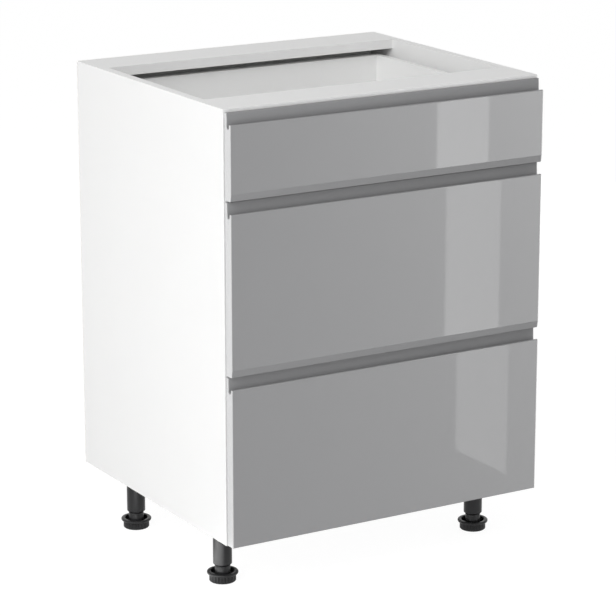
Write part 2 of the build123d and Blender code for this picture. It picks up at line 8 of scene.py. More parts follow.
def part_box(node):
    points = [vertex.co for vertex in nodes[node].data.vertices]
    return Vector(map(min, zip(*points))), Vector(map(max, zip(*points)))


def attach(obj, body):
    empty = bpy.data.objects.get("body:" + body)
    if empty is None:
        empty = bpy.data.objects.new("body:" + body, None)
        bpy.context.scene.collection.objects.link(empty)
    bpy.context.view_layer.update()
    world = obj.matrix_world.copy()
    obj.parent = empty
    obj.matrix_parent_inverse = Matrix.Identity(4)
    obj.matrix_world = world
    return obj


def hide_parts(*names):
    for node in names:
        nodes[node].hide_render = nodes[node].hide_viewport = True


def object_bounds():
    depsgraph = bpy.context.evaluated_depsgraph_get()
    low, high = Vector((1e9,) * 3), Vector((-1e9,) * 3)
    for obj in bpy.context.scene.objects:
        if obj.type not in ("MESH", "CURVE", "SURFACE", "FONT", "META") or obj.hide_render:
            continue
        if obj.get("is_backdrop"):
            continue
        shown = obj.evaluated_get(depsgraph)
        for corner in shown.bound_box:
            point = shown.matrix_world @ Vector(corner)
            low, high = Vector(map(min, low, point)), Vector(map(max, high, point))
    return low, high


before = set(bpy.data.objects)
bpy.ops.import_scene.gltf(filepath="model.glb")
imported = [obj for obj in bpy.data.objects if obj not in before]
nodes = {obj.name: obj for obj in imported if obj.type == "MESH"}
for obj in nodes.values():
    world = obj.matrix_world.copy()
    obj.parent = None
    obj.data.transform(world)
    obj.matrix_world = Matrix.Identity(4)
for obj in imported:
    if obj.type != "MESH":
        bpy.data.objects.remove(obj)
cad_low, cad_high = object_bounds()
scene = bpy.context.scene
scene.view_settings.view_transform = "Standard"


# ---- Camera ----
# The cabinet is seen from its left and a little from above, from almost five metres away, so
# that its upright edges stay nearly parallel.

camera_place = (-2.3445, -3.9169, 1.6289)
camera_dip = math.radians(15.04)
camera_turn = math.radians(30.92)
camera_lens = 160.3
camera_sensor = 36.0

camera_data = bpy.data.cameras.new("camera")
camera_data.sensor_width = camera_sensor
camera_data.lens = camera_lens
camera = bpy.data.objects.new("camera", camera_data)
camera.location = camera_place
camera.rotation_euler = (math.pi / 2 - camera_dip, 0.0, -camera_turn)
scene.collection.objects.link(camera)
scene.camera = camera


# ---- Floor and room ----
# A plain pale studio floor that runs out of sight into a white room. It carries the cabinet's
# soft shadow, and it can be looked through from below.

class Wire:
    """One output of a finish's nodes, which sums, products and steps can be written with."""

    def __init__(self, finish, socket):
        self.finish = finish
        self.socket = socket

    def __add__(self, other):
        return self.finish.maths("ADD", self, other)

    __radd__ = __add__

    def __mul__(self, other):
        return self.finish.maths("MULTIPLY", self, other)

    __rmul__ = __mul__

    def __gt__(self, other):
        return self.finish.maths("GREATER_THAN", self, other)

    def __lt__(self, other):
        return self.finish.maths("LESS_THAN", self, other)

    def __or__(self, other):
        return self.finish.maths("MAXIMUM", self, other)


class Finish:
    """A material, or the room's background, whose nodes are written as expressions."""

    def __init__(self, owner):
        owner.use_nodes = True
        self.owner = owner
        self.tree = owner.node_tree
        self.tree.nodes.clear()

    def node(self, kind, settings=None, inputs=None, output=0):
        """One node: its settings first, then the values or links of its sockets."""
        made = self.tree.nodes.new(kind)
        for name, value in (settings or {}).items():
            if name == "stops":
                self.set_stops(made.color_ramp, value)
            else:
                setattr(made, name, value)
        for name, value in (inputs or {}).items():
            socket = made.inputs[name]
            if isinstance(value, Wire):
                self.tree.links.new(value.socket, socket)
            elif socket.type == "RGBA":
                socket.default_value = (*value, 1.0)
            else:
                socket.default_value = value
        return Wire(self, made.outputs[output]) if made.outputs else None

    def set_stops(self, ramp, stops):
        """Places and colours along a ramp, lowest first."""
        for index, (place, colour) in enumerate(stops):
            stop = ramp.elements[index] if index < 2 else ramp.elements.new(place)
            stop.position = place
            stop.color = (*colour, 1.0)

    def maths(self, operation, first, second):
        """Two values joined by one Math node."""
        return self.node("ShaderNodeMath", {"operation": operation}, {0: first, 1: second})

    def noise(self, size, detail, stretch=(1.0, 1.0, 1.0)):
        """A soft random pattern, with features of about size metres, longer where stretched."""
        where = self.node("ShaderNodeTexCoord", output="Object")
        scale = [1.0 / (size * length) for length in stretch]
        place = self.node("ShaderNodeMapping", {}, {"Vector": where, "Scale": scale})
        return self.node(
            "ShaderNodeTexNoise", {}, {"Vector": place, "Scale": 1.0, "Detail": detail}
        )

    def spread(self, value, low, high, out_low=0.0, out_high=1.0):
        """A value carried from one range to another, and held at its ends."""
        return self.node(
            "ShaderNodeMapRange", {},
            {"Value": value, "From Min": low, "From Max": high,
             "To Min": out_low, "To Max": out_high},
        )

    def blend(self, factor, first, second):
        """Two colours mixed by a factor from 0 to 1."""
        return self.node(
            "ShaderNodeMix", {"data_type": "RGBA"}, {0: factor, 6: first, 7: second}, 2
        )

    def relief(self, height, depth):
        """Bumps of a given depth in metres."""
        return self.node(
            "ShaderNodeBump", {}, {"Height": height, "Distance": depth, "Strength": 1.0}
        )

    def mix(self, share, first, second):
        """Two shaders in one, of which the second has the given share."""
        return self.node("ShaderNodeMixShader", {}, {0: share, 1: first, 2: second})

    def surface(self, shader):
        """What the finish shows in the end."""
        is_world = isinstance(self.owner, bpy.types.World)
        kind = "ShaderNodeOutputWorld" if is_world else "ShaderNodeOutputMaterial"
        self.node(kind, {}, {"Surface": shader})
        return self.owner


def new_finish(name):
    """An empty material to write nodes in."""
    return Finish(bpy.data.materials.new(name))


def along(finish, axis):
    """Place along one axis of the cabinet, in metres."""
    where = finish.node("ShaderNodeTexCoord", output="Object")
    return finish.node("ShaderNodeSeparateXYZ", {}, {0: where}, axis)


def ray(finish, kind):
    """One thing that is known of the ray that meets the surface."""
    return finish.node("ShaderNodeLightPath", output=kind)


def seen(finish):
    """1 for what is looked at straight, in gloss or through something clear."""
    return (
        ray(finish, "Is Camera Ray")
        | ray(finish, "Is Glossy Ray")
        | ray(finish, "Is Transmission Ray")
    )


def backdrop(finish, strength):
    """A white background of the room, where a strength of 1 is plain white."""
    return finish.node("ShaderNodeBackground", {}, {"Color": room_white, "Strength": strength})


def white_light(finish, strength):
    """A surface that gives white light by itself."""
    return finish.node("ShaderNodeEmission", {}, {"Color": room_white, "Strength": strength})


def new_object(name, mesh, material):
    """Makes an object of a finished mesh and puts it in the scene."""
    data = bpy.data.meshes.new(name)
    mesh.to_mesh(data)
    mesh.free()
    data.materials.append(material)
    made = bpy.data.objects.new(name, data)
    scene.collection.objects.link(made)
    return made


room_white = (1.0, 1.0, 1.0)
room_light = 0.42
floor_reach = 30.0
floor_colour = (0.78, 0.78, 0.78)
floor_white_share = 0.84
floor_white_strength = 1.12
# In the gloss the floor grows brighter to the right, across a slanting strip.
glow_strength = 7.4
glow_start = -0.44
glow_width = 1.9
glow_slant = 0.56
# The glow fades again beyond a second slanting line, and ends just before the fronts.
glow_end = 0.24
glow_fall = 0.30
glow_end_slant = 0.72
glow_back = -0.40
glow_edge = 0.08
# It leaves out what lies nearer to the gloss than this, which is what the legs mirror.
glow_nearest = 0.22
glow_full = 0.30
# Left of the front leg a patch of the floor is bright in the gloss too, as under a lamp.
patch_strength = 10.5
patch_left = -0.80
patch_right = -0.27
patch_front = -0.46
patch_back = 0.0
patch_fade = 0.10

room = Finish(bpy.data.worlds.new("room"))
room.surface(room.mix(seen(room), backdrop(room, room_light), backdrop(room, 1.0)))
scene.world = room.owner

paint = new_finish("floor_paint")
right = along(paint, 0)
back = along(paint, 1)
in_gloss = ray(paint, "Is Glossy Ray")
glow_share = (
    paint.spread(right + back * glow_slant, glow_start, glow_start + glow_width)
    * paint.spread(right + back * glow_end_slant, glow_end, glow_end + glow_fall, 1.0, 0.0)
    * paint.spread(back, glow_back - glow_edge, glow_back, 1.0, 0.0)
    * paint.spread(ray(paint, "Ray Length"), glow_nearest, glow_full)
    * in_gloss
)
patch_share = (
    paint.spread(right, patch_right - patch_fade, patch_right, 1.0, 0.0)
    * paint.spread(right, patch_left, patch_left + patch_fade)
    * paint.spread(back, patch_back - patch_fade, patch_back, 1.0, 0.0)
    * paint.spread(back, patch_front, patch_front + patch_fade)
    * in_gloss
)
white = white_light(paint, floor_white_strength)
white = paint.mix(glow_share, white, white_light(paint, glow_strength))
white = paint.mix(patch_share, white, white_light(paint, patch_strength))
shaded = paint.node("ShaderNodeBsdfDiffuse", {}, {"Color": floor_colour})
top_side = paint.mix(seen(paint) * floor_white_share, shaded, white)
clear = paint.node("ShaderNodeBsdfTransparent")
underneath = paint.node("ShaderNodeNewGeometry", output="Backfacing")
paint.surface(paint.mix(underneath, top_side, clear))

floor_mesh = bmesh.new()
bmesh.ops.create_grid(floor_mesh, x_segments=1, y_segments=1, size=floor_reach)
floor = new_object("floor", floor_mesh, paint.owner)
floor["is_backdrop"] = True


# ---- Soft light ----
# A wide softbox stands to the left, a weaker one in front, a third hangs high over the left
# shoulder, and a low one fills from behind on the right. To the right of the fronts stands a
# narrow lit screen in three parts, which only the gloss shows.

# Each softbox: its place, the point that it faces, its width, height and power, and whether
# gloss shows it.
softboxes = [
    ("left_softbox", Vector((-1.5, -0.85, 0.3)), Vector((0.0, -0.85, 0.3)), 2.0, 1.2, 7.8, True),
    ("front_softbox", Vector((-1.3, -2.8, 1.0)), Vector((0.0, 0.0, 0.45)), 1.2, 1.4, 5.0, False),
    ("high_softbox", Vector((-3.7, -2.3, 3.5)), Vector((0.0, 0.0, 0.8)), 2.4, 2.4, 138.0, False),
    ("back_softbox", Vector((2.4, 1.7, 0.45)), Vector((0.0, 0.0, 0.45)), 2.0, 0.8, 27.0, False),
]
for name, place, aim, width, height, power, shown_in_gloss in softboxes:
    lamp_data = bpy.data.lights.new(name, "AREA")
    lamp_data.shape = "RECTANGLE"
    lamp_data.size = width
    lamp_data.size_y = height
    lamp_data.energy = power
    lamp = bpy.data.objects.new(name, lamp_data)
    lamp.location = place
    lamp.rotation_euler = (aim - place).to_track_quat("-Z", "Y").to_euler()
    lamp.visible_camera = False
    lamp.visible_glossy = shown_in_gloss
    scene.collection.objects.link(lamp)

screen_x = 0.45
screen_foot = (0.014, 0.014)
screen_low_joint = (0.269, 0.210)
screen_high_joint = (0.572, 0.525)
screen_top = (0.90, 0.90)
# Each part of the screen: its near and far edge along Y, the heights of its lower and upper
# edge at both, and how bright it is.
screen_parts = [
    ("low", (-0.565, -0.733), screen_foot, screen_low_joint, 3.9),
    ("middle", (-0.598, -0.775), screen_low_joint, screen_high_joint, 4.6),
    ("high", (-0.640, -0.809), screen_high_joint, screen_top, 5.4),
]
for part, (near, far), (near_low, far_low), (near_high, far_high), strength in screen_parts:
    board = bmesh.new()
    board.faces.new([
        board.verts.new((screen_x, y, z))
        for y, z in ((near, near_low), (far, far_low), (far, far_high), (near, near_high))
    ])
    glowing = new_finish("screen_glow_" + part)
    glowing.surface(white_light(glowing, strength))
    screen = new_object("screen_" + part, board, glowing.owner)
    screen.visible_camera = False
    screen.visible_diffuse = False
    screen.visible_transmission = False
    screen.visible_shadow = False
    screen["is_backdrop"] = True


# ---- Carcass boards ----
# Side panels, bottom panel and the two flat top rails: 16 mm chipboard with a hard white
# melamine face of very fine texture. The rear edges are sawn and stay raw.

resin_ior = 1.5
# Most of a noise pattern's values lie in this range.
noise_range = (0.3, 0.7)
face_white = (0.86, 0.86, 0.855)
face_shade = (0.845, 0.846, 0.842)
face_clouds = 0.09
face_pearl = 0.0007
face_rough = (0.34, 0.46)
face_bumps = 0.00001
chip_size = 0.0016
chip_stretch = (1.6, 1.0, 1.0)
chip_stops = [
    (0.33, (0.30, 0.19, 0.10)), (0.5, (0.55, 0.38, 0.22)), (0.66, (0.74, 0.58, 0.39)),
]
chip_added_rough = 0.4
raw_edge_depth = 0.0003


def coat(finish, tone, pattern, rough, depth, constants, added_rough=None, bumps=None):
    """A shader whose sheen follows a pattern, as do its fine bumps, unless they have their own."""
    sheen = finish.spread(pattern, *noise_range, *rough)
    if added_rough is not None:
        sheen = sheen + added_rough
    return finish.node(
        "ShaderNodeBsdfPrincipled", {},
        {"Base Color": tone, "Roughness": sheen, **constants,
         "Normal": finish.relief(bumps or pattern, depth)},
    )


def board_finish(name, raw=None):
    """White melamine, with raw chipboard where the mask raw says so."""
    finish = new_finish(name)
    tone = finish.blend(finish.noise(face_clouds, detail=2.0), face_white, face_shade)
    added_rough = None
    if raw is not None:
        mask = raw(finish)
        chips = finish.noise(chip_size, detail=4.0, stretch=chip_stretch)
        chip_tone = finish.node("ShaderNodeValToRGB", {"stops": chip_stops}, {"Fac": chips})
        tone = finish.blend(mask, tone, chip_tone)
        added_rough = mask * chip_added_rough
    pearl = finish.noise(face_pearl, detail=2.0)
    return finish.surface(
        coat(finish, tone, pearl, face_rough, face_bumps, {"IOR": resin_ior}, added_rough)
    )


def dress(material, *names):
    """Gives carried-over pieces their finish."""
    for name in names:
        for slot in nodes[name].material_slots:
            slot.material = material


def rear_edge(finish):
    """1 on the sawn rear edges of the boards."""
    return along(finish, 1) > cad_high.y - raw_edge_depth


melamine = board_finish("white_melamine_board", rear_edge)
dress(melamine, "side_panel_left", "side_panel_right", "bottom_panel")
dress(melamine, "top_front_rail", "top_back_rail")


# ---- Edging of the carcass ----
# White plastic edging, 1 mm thick, glued to the front edges of the boards and rounded. It is
# a little smoother than the melamine.

edging_white = (0.85, 0.85, 0.85)
edging_clouds = 0.05
edging_grain = 0.0012
edging_rough = (0.26, 0.36)
edging_bumps = 0.000006


def edging_finish(name, light, shade, clouds, grain, rough, bumps):
    """Plastic edging with a soft sheen."""
    finish = new_finish(name)
    tone = finish.blend(finish.noise(clouds, detail=2.0), light, shade)
    pattern = finish.noise(grain, detail=3.0)
    return finish.surface(coat(finish, tone, pattern, rough, bumps, {"IOR": resin_ior}))


white_edging = edging_finish(
    "white_edging_strip", edging_white, face_shade, edging_clouds, edging_grain, edging_rough,
    edging_bumps,
)
dress(white_edging, "carcass_edge_bands")


# ---- Back panel and drawer bottoms ----
# Thin hardboard, lacquered white on the side that is seen in use, plain brown fibre on the
# outside. It slides in grooves of the boards.

lacquer_white = (0.84, 0.84, 0.835)
lacquer_rough = (0.4, 0.5)
fibre_light = (0.42, 0.29, 0.17)
fibre_dark = (0.27, 0.175, 0.10)
fibre_size = 0.0011
fibre_stretch = (3.0, 1.0, 1.0)
fibre_share = 0.5
fibre_contrast = (0.2, 0.8)
fibre_added_rough = 0.25
fibre_bumps = 0.00002
pressing_size = 0.007
# The raw side faces backwards on the back panel and downwards on the drawer bottoms.
raw_side_facing = 0.5


def facing(finish, axis):
    """How far the surface faces along one axis of the cabinet, from -1 to 1."""
    normal = finish.node("ShaderNodeTexCoord", output="Normal")
    return finish.node("ShaderNodeSeparateXYZ", {}, {0: normal}, axis)


hardboard = new_finish("lacquered_hardboard")
fibres = hardboard.noise(fibre_size, detail=5.0, stretch=fibre_stretch)
pressing = hardboard.noise(pressing_size, detail=5.0)
mottling = fibres * fibre_share + pressing * (1 - fibre_share)
fibre_tone = hardboard.blend(
    hardboard.spread(mottling, *fibre_contrast), fibre_dark, fibre_light
)
raw_side = (facing(hardboard, 1) > raw_side_facing) | (facing(hardboard, 2) < -raw_side_facing)
hardboard.surface(coat(
    hardboard, hardboard.blend(raw_side, lacquer_white, fibre_tone), fibres, lacquer_rough,
    fibre_bumps, {"IOR": resin_ior}, raw_side * fibre_added_rough,
))
dress(hardboard.owner, "back_panel")


# ---- Cam discs and cam bolts ----
# Die-cast zinc fittings that hold the cross panels between the side panels. The bolts stick
# out of the side panels, and the discs, turned from below, draw them in.

zinc_grey = (0.60, 0.60, 0.61)
zinc_dark = (0.47, 0.47, 0.49)
zinc_grain = 0.0012
zinc_rough = (0.34, 0.52)
zinc_bumps = 0.00002


def metal_finish(name, light, dark, grain, rough, bumps, stretch=(1.0, 1.0, 1.0)):
    """Bare or plated metal with a fine uneven sheen."""
    finish = new_finish(name)
    pattern = finish.noise(grain, detail=4.0, stretch=stretch)
    tone = finish.blend(pattern, dark, light)
    return finish.surface(coat(finish, tone, pattern, rough, bumps, {"Metallic": 1.0}))


zinc_fitting = metal_finish(
    "zinc_casting", zinc_grey, zinc_dark, zinc_grain, zinc_rough, zinc_bumps
)
dress(zinc_fitting, "cam_discs", "cam_bolts")


# ---- Dowels ----
# Plain turned beech pins, glued in bores of the boards. They keep the cross panels in line
# with the side panels, and hold the corners of the drawer boxes.

beech_light = (0.70, 0.52, 0.34)
beech_dark = (0.52, 0.35, 0.20)
beech_grain = 0.0006
beech_stretch = (12.0, 1.0, 1.0)
beech_rough = (0.5, 0.65)
beech_bumps = 0.00003

beech = new_finish("beech_dowel")
grain = beech.noise(beech_grain, detail=4.0, stretch=beech_stretch)
beech_tone = beech.blend(grain, beech_dark, beech_light)
beech.surface(coat(beech, beech_tone, grain, beech_rough, beech_bumps, {}))
dress(beech.owner, "carcass_dowels")


# ---- Legs ----
# Black moulded plastic legs: a socket plate screwed under the bottom panel, a tube pushed on
# its spigot, and a screw foot with a ribbed cup, whose coarse thread runs in the tube's nut.

plastic_black = (0.015, 0.015, 0.016)
plastic_worn = (0.024, 0.024, 0.025)
plastic_clouds = 0.012
plastic_grain = 0.0009
plastic_rough = (0.29, 0.38)
plastic_specular = 0.27
plastic_bumps = 0.00002
leg_names = ["front_left", "front_right", "back_left", "back_right"]
cup_radius = 0.0226
cup_chamfer = 0.0015
cup_ribs = 24
# A rib and its groove take this many corners, each drawn in by one of the depths.
rib_corners = 6
groove_depths = (0.0017, 0.0013, 0.0, 0.0, 0.0, 0.0013)
rib_low = 0.0014
rib_high = 0.0128
# The turned outline of the cup's ring, inside, floor, collar and stem, as radius and height.
cup_outline = [
    (0.0226, 0.0130), (0.0248, 0.0130), (0.0257, 0.0133), (0.0263, 0.0141), (0.0264, 0.0152),
    (0.0263, 0.0163), (0.0257, 0.0171), (0.0248, 0.0175), (0.0206, 0.0175), (0.0200, 0.0171),
    (0.0200, 0.0041), (0.0194, 0.0035), (0.0136, 0.0035), (0.0130, 0.0041), (0.0130, 0.0272),
    (0.0128, 0.0276), (0.0124, 0.0278), (0.0093, 0.0278), (0.0093, 0.0708), (0.0081, 0.0720),
    (0.0, 0.0720),
]
web_count = 8
web_size = (0.0088, 0.0014, 0.0090)
web_middle = (0.0163, 0.0, 0.0078)
web_bevel = 0.0003
thread_start = 0.0276
thread_pitch = 0.0030
thread_turns = 14
thread_steps = 28
thread_root = 0.0091
thread_crest = 0.0100
# The section of the thread's ridge, as radius and share of the pitch.
thread_section = [
    (thread_root, 0.10), (thread_crest, 0.32), (thread_crest, 0.62), (thread_root, 0.84),
]
merge_gap = 0.000004
crisp_angle = math.radians(35.0)

plastic = new_finish("black_leg_plastic")
clouds = plastic.noise(plastic_clouds, detail=3.0)
plastic.surface(coat(
    plastic, plastic.blend(clouds, plastic_black, plastic_worn), clouds, plastic_rough,
    plastic_bumps, {"IOR": resin_ior, "Specular IOR Level": plastic_specular},
    bumps=plastic.noise(plastic_grain, detail=4.0),
))
dress(plastic.owner, "leg_sockets", "leg_tubes")


def open_edges(mesh):
    """The edges that only one face has."""
    return [edge for edge in mesh.edges if len(edge.link_faces) == 1]


def draw_out(mesh, edges):
    """Extrudes edges in place: the points and the edges at their new end."""
    made = bmesh.ops.extrude_edge_only(mesh, edges=edges)["geom"]
    points = [item for item in made if isinstance(item, bmesh.types.BMVert)]
    return points, [item for item in made if isinstance(item, bmesh.types.BMEdge)]


def outward(point):
    """The level direction from the upright axis to a point."""
    return Vector((point.co.x, point.co.y, 0.0)).normalized()


def bearing(point):
    """The angle of a point about the upright axis, the same for all points above each other."""
    return round(math.atan2(point.co.y, point.co.x), 4)


def draw_ring(mesh, edges, radius, height):
    """Draws an edge loop about the upright axis out to a new radius and height."""
    points, loop = draw_out(mesh, edges)
    for point in points:
        point.co = outward(point) * radius + Vector((0.0, 0.0, height))
    return loop


def close_up(mesh):
    """Merges a turned shape's seams, points its faces outwards and softens its shading."""
    bmesh.ops.remove_doubles(mesh, verts=mesh.verts, dist=merge_gap)
    bmesh.ops.recalc_face_normals(mesh, faces=mesh.faces)
    for face in mesh.faces:
        face.smooth = True
    for edge in mesh.edges:
        edge.smooth = len(edge.link_faces) != 2 or edge.calc_face_angle() < crisp_angle


def new_piece(name, mesh, material, body, slot, *stands_for):
    """Makes a piece from a finished mesh, riding on a body in place of CAD nodes."""
    piece = new_object(name, mesh, material)
    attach(piece, body)
    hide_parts(*stands_for)
    return piece


def leg_axis(name, height):
    """The point of one leg's axis at a given height."""
    low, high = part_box(name + "_foot")
    return Vector(((low.x + high.x) / 2, (low.y + high.y) / 2, height))


def screw_foot():
    """The cup, its webs and its threaded stem, on the upright axis."""
    mesh = bmesh.new()
    corners = bmesh.ops.create_circle(
        mesh, cap_ends=True, radius=cup_radius - cup_chamfer, segments=cup_ribs * rib_corners
    )["verts"]
    depth_at = {
        bearing(point): groove_depths[index % rib_corners] for index, point in enumerate(corners)
    }
    loop = open_edges(mesh)
    for height in (rib_low, rib_high):
        loop = draw_ring(mesh, loop, cup_radius, height)
        for point in {point for edge in loop for point in edge.verts}:
            point.co -= outward(point) * depth_at[bearing(point)]
    for radius, height in cup_outline:
        loop = draw_ring(mesh, loop, radius, height)
    for index in range(web_count):
        turned = Matrix.Rotation(2 * math.pi * index / web_count, 4, "Z")
        place = turned @ Matrix.Translation(web_middle)
        web = bmesh.ops.create_cube(
            mesh, size=1.0, matrix=place @ Matrix.Diagonal((*web_size, 1.0))
        )
        points = set(web["verts"])
        bmesh.ops.bevel(
            mesh, geom=[edge for edge in mesh.edges if points.issuperset(edge.verts)],
            offset=web_bevel, segments=1, profile=0.5, affect="EDGES", material=-1,
        )
    ridge = mesh.faces.new([
        mesh.verts.new((radius, 0.0, thread_start + thread_pitch * share))
        for radius, share in thread_section
    ])
    bmesh.ops.spin(
        mesh, geom=[ridge], cent=(0.0, 0.0, 0.0), axis=(0.0, 0.0, 1.0),
        dvec=(0.0, 0.0, thread_pitch / thread_steps), angle=2 * math.pi * thread_turns,
        steps=thread_steps * thread_turns,
    )
    close_up(mesh)
    return mesh


foot_shape = screw_foot()
for name in leg_names:
    foot = foot_shape.copy()
    bmesh.ops.translate(foot, verts=foot.verts, vec=leg_axis(name, 0.0))
    new_piece(
        name + "_screw_foot", foot, plastic.owner, name + "_foot", "black_plastic",
        name + "_foot",
    )
foot_shape.free()


# ---- Screws ----
# Zinc plated chipboard screws with low domed heads and a cross recess. They hold the runners,
# the fronts and the leg sockets.

screw_light = (0.74, 0.74, 0.72)
screw_dark = (0.58, 0.58, 0.58)
screw_grain = 0.0008
screw_rough = (0.24, 0.38)
screw_bumps = 0.00001
cross_reach = 0.00185
cross_half_width = 0.00050
cross_depth = 0.0012
cross_taper = 0.62
head_height = 0.0016
shank_radius = 0.00175
# The head from its flat crown to its seat and the shank, as radius and height.
head_outline = [
    (0.0024, head_height), (0.0030, 0.0014), (0.00335, 0.0010), (0.0035, 0.0005),
    (0.0035, 0.0), (shank_radius, 0.0),
]
point_length = 0.0025
# Each screw's recess is turned this much further than that of the one before.
screw_turn_step = 1.1
drawer_names = ["top", "middle", "bottom"]
screw_rows = (-0.208, -0.016, 0.176)
runner_screw_seat = 0.2828
runner_screw_length = 0.0122
box_screw_seat = 0.2722
box_screw_length = 0.0102
front_screw_seat = -0.235
front_screw_length = 0.025
front_screw_reach = 0.169
front_screw_levels = (0.035, 0.075)
socket_screw_seat = 0.0976
socket_screw_length = 0.0144
socket_screw_circle = 0.024
socket_screw_bearings = (45, 135, 225, 315)

screw_metal = metal_finish(
    "zinc_plated_screw", screw_light, screw_dark, screw_grain, screw_rough, screw_bumps
)


def screw_shape(length):
    """One screw on the upright axis, its head upwards from its seat."""
    mesh = bmesh.new()
    # The grid's rows lie at 1 and at 1/3 from its middle, on both sides.
    bmesh.ops.create_grid(mesh, x_segments=3, y_segments=3, size=1.0)
    for point in mesh.verts:
        for axis in (0, 1):
            reach = cross_reach if abs(point.co[axis]) > 0.5 else cross_half_width
            point.co[axis] = math.copysign(reach * cross_taper, point.co[axis])
        point.co.z = head_height - cross_depth
    corners = []
    for face in mesh.faces:
        middle = face.calc_center_median()
        if min(abs(middle.x), abs(middle.y)) > cross_half_width:
            corners.append(face)
    bmesh.ops.delete(mesh, geom=corners, context="FACES")
    lip, loop = draw_out(mesh, open_edges(mesh))
    bmesh.ops.scale(mesh, verts=lip, vec=(1 / cross_taper, 1 / cross_taper, 1.0))
    bmesh.ops.translate(mesh, verts=lip, vec=(0.0, 0.0, cross_depth))
    loop = draw_ring(mesh, loop, *head_outline[0])
    bmesh.ops.subdivide_edges(mesh, edges=loop, cuts=1)
    loop = open_edges(mesh)
    shank = [(shank_radius, point_length - length), (0.0, -length)]
    for radius, height in head_outline + shank:
        loop = draw_ring(mesh, loop, radius, height)
    close_up(mesh)
    shape = bpy.data.meshes.new("screw_shape")
    mesh.to_mesh(shape)
    mesh.free()
    return shape


def drive(mesh, shape, seat, way, turn):
    """Sets a screw with its head's seat at one point, its head facing one way."""
    copy = shape.copy()
    aim = Vector(way).to_track_quat("Z", "Y").to_matrix().to_4x4()
    copy.transform(Matrix.Translation(seat) @ aim @ Matrix.Rotation(turn, 4, "Z"))
    mesh.from_mesh(copy)
    bpy.data.meshes.remove(copy)


runner_screw = screw_shape(runner_screw_length)
box_screw = screw_shape(box_screw_length)
front_screw = screw_shape(front_screw_length)
socket_screw = screw_shape(socket_screw_length)

carcass_screws = bmesh.new()
turn = 0.0
for drawer in drawer_names:
    low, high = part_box(drawer + "_runner_outer_members")
    level = (low.z + high.z) / 2
    box_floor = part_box(drawer + "_box_sides")[0].z
    drawer_screws = bmesh.new()
    for side in (-1, 1):
        for y in screw_rows:
            turn += screw_turn_step
            seat = (side * runner_screw_seat, y, level)
            drive(carcass_screws, runner_screw, seat, (-side, 0, 0), turn)
            seat = (side * box_screw_seat, y, level)
            drive(drawer_screws, box_screw, seat, (side, 0, 0), -turn)
        for rise in front_screw_levels:
            turn += screw_turn_step
            seat = (side * front_screw_reach, front_screw_seat, box_floor + rise)
            drive(drawer_screws, front_screw, seat, (0, 1, 0), turn)
    new_piece(
        drawer + "_cross_head_screws", drawer_screws, screw_metal, drawer + "_drawer",
        "zinc_screw", drawer + "_drawer_screws",
    )
new_piece(
    "runner_cross_head_screws", carcass_screws, screw_metal, "carcass", "zinc_screw",
    "runner_screws",
)

plate_screws = bmesh.new()
for name in leg_names:
    for degrees in socket_screw_bearings:
        turn += screw_turn_step
        around = Matrix.Rotation(math.radians(degrees), 3, "Z")
        aside = around @ Vector((socket_screw_circle, 0, 0))
        seat = leg_axis(name, socket_screw_seat) + aside
        drive(plate_screws, socket_screw, seat, (0, 0, -1), turn)
new_piece(
    "socket_cross_head_screws", plate_screws, screw_metal, "carcass", "zinc_screw",
    "leg_socket_screws",
)
for shape in (runner_screw, box_screw, front_screw, socket_screw):
    bpy.data.meshes.remove(shape)


# ---- Runners ----
# Full-extension ball-bearing runners, two to a drawer. Their members are rolled from zinc
# plated steel sheet with pressed slots, and the balls sit in thin strips between them.

runner_light = (0.65, 0.66, 0.67)
runner_dark = (0.50, 0.51, 0.53)
runner_grain = 0.0015
runner_stretch = (1.0, 14.0, 1.0)
runner_rough = (0.24, 0.38)
runner_bumps = 0.00001
ball_light = (0.80, 0.80, 0.81)
ball_dark = (0.66, 0.66, 0.68)
ball_grain = 0.002
ball_rough = (0.08, 0.2)
ball_bumps = 0.000004
member_sheet = 0.0012
roll_radius = 0.0021
panel_inside = 0.284
# Each slot is cut in a frame of the web, which reaches past the slot's ends by a margin. The
# hole is first cut square, inside a rim. Its points, which lie within a share of the frame,
# are then drawn to the slot's round outline.
frame_margin = 0.004
frame_half_height = 0.0072
frame_rim = 0.001
frame_inside_share = 0.97
# Half of each member's rolled outline at the middle of its sheet, from the flange's edge to
# the web: distance from the side panel, and height from the runner's middle.
outer_outline = [
    (0.0089, 0.0193), (0.0089, 0.0219), (0.0006, 0.0219), (0.0006, frame_half_height),
]
middle_outline = [(0.0105, 0.0171), (0.0038, 0.0171), (0.0038, frame_half_height)]
inner_outline = [(0.0060, 0.0123), (0.0124, 0.0123), (0.0124, frame_half_height)]
# Slots in the webs: the place of their middle along the runner, half the length between
# their round ends, and the ends' radius.
outer_slots = [
    (-0.178, 0.004, 0.0022), (-0.112, 0.009, 0.0030), (0.048, 0.0, 0.0030),
    (0.110, 0.009, 0.0030),
]
middle_slots = [
    (-0.190, 0.016, 0.0042), (-0.060, 0.0, 0.0032), (0.060, 0.0, 0.0032),
    (0.154, 0.016, 0.0042),
]
inner_slots = [
    (-0.178, 0.006, 0.0022), (-0.096, 0.0, 0.0030), (0.080, 0.006, 0.0030),
    (0.140, 0.0, 0.0022),
]

runner_steel = metal_finish(
    "zinc_plated_runner", runner_light, runner_dark, runner_grain, runner_rough, runner_bumps,
    runner_stretch,
)
ball_steel = metal_finish(
    "bright_ball_steel", ball_light, ball_dark, ball_grain, ball_rough, ball_bumps
)


